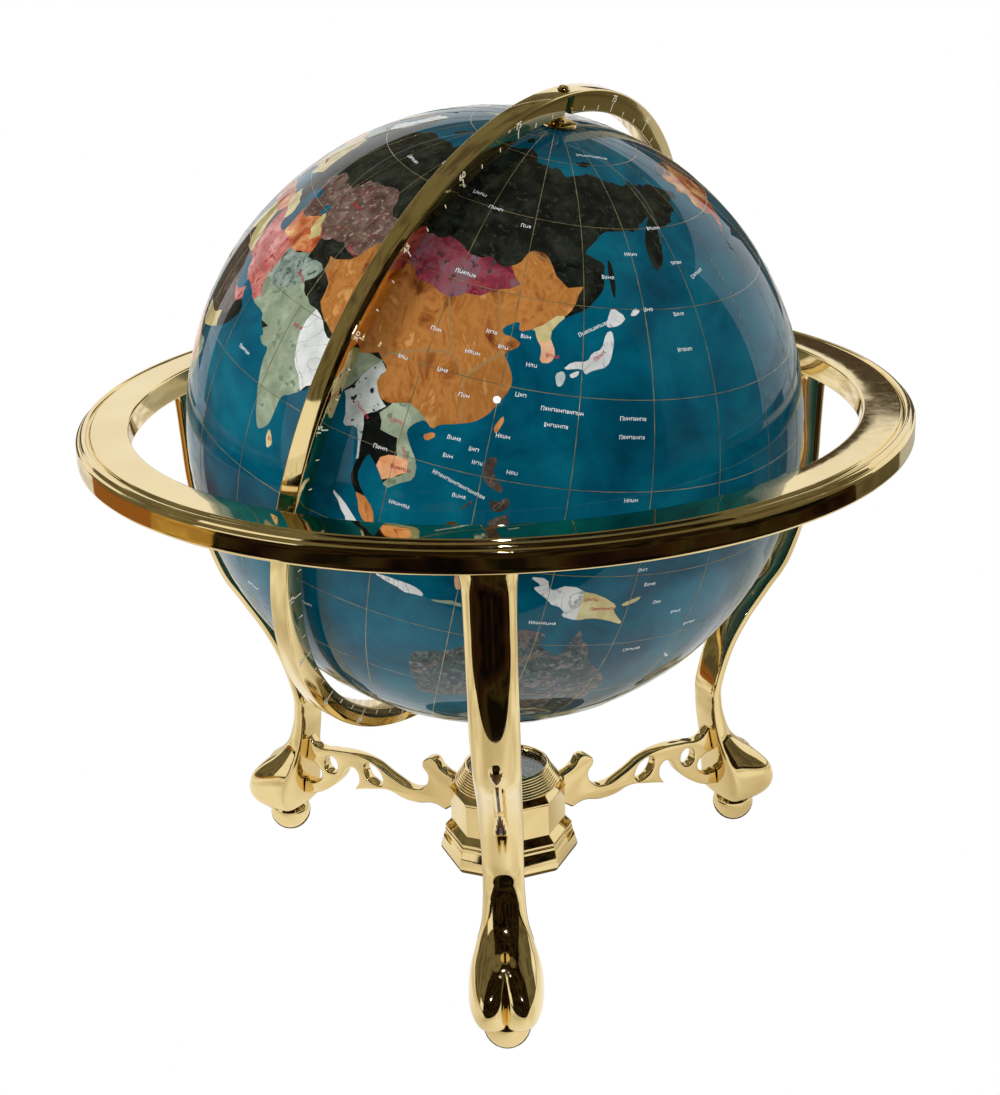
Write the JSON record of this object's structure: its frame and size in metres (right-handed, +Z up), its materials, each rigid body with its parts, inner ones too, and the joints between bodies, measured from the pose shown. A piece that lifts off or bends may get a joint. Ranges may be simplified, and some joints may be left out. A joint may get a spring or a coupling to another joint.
{
  "type": "desktop globe on stand",
  "caption": "Stone-inlay terrestrial globe in a swinging meridian ring inside a flat horizon ring, on a three-legged gold stand with a compass hub.",
  "frame": {"origin": "on the floor, on the stand's axis, under the middle of the horizon ring", "axes": "+Z up; the front leg stands towards -Y and +X is to the right"},
  "size_m": [0.2966, 0.2966, 0.3122],
  "materials": {
    "gold_plate": "mirror-polished pale gold plate",
    "stone_inlay": "teal resin and cut stone under a thick clear gloss coat",
    "steel": "zinc-plated fasteners",
    "aluminium": "drawn tube",
    "compass_black": "black card and bowl",
    "needle": "painted needle, one half red",
    "glass": "clear compass glass"
  },
  "bodies": {
    "stand": {"arm_screw_front": "steel", "arm_screw_left": "steel", "arm_screw_right": "steel", "arm_stud_front": "steel", "arm_stud_left": "steel", "arm_stud_right": "steel", "ball_foot_front": "gold_plate", "ball_foot_left": "gold_plate", "ball_foot_right": "gold_plate", "compass_bowl": "compass_black", "compass_cap": "gold_plate", "compass_card": "compass_black", "compass_glass": "glass", "compass_pivot": "steel", "horizon_ring": "gold_plate", "hub_base": "gold_plate", "hub_body": "gold_plate", "hub_bolt": "steel", "hub_nut": "steel", "leg_front": "gold_plate", "leg_left": "gold_plate", "leg_right": "gold_plate", "leg_stud_front": "steel", "leg_stud_left": "steel", "leg_stud_right": "steel", "pivot_screw_front": "steel", "pivot_screw_rear": "steel", "pivot_spacer_front": "gold_plate", "pivot_spacer_rear": "gold_plate", "scroll_arm_front": "gold_plate", "scroll_arm_left": "gold_plate", "scroll_arm_right": "gold_plate"},
    "meridian": {"meridian_ring": "gold_plate", "pole_pin_north": "gold_plate", "pole_pin_south": "gold_plate", "pole_screw_north": "gold_plate", "pole_screw_south": "gold_plate"},
    "globe": {"globe_shell_north": "stone_inlay", "globe_shell_south": "stone_inlay", "globe_axle_tube": "aluminium", "pole_cap_north": "gold_plate", "pole_cap_south": "gold_plate"},
    "needle": {"compass_needle": "needle"}
  },
  "joints": [
    {"name": "meridian_swing", "type": "hinge", "parent": "stand", "child": "meridian", "pos_m": [0, 0, 0.1927], "axis": [-0.5299, -0.848, 0], "continuous": true},
    {"name": "globe_spin", "type": "hinge", "parent": "meridian", "child": "globe", "pos_m": [0, 0, 0.1927], "axis": [0.2195, -0.1372, 0.9659], "continuous": true},
    {"name": "compass_needle_spin", "type": "hinge", "parent": "stand", "child": "needle", "pos_m": [0, 0, 0.0482], "axis": [0, 0, 1], "continuous": true}
  ]
}
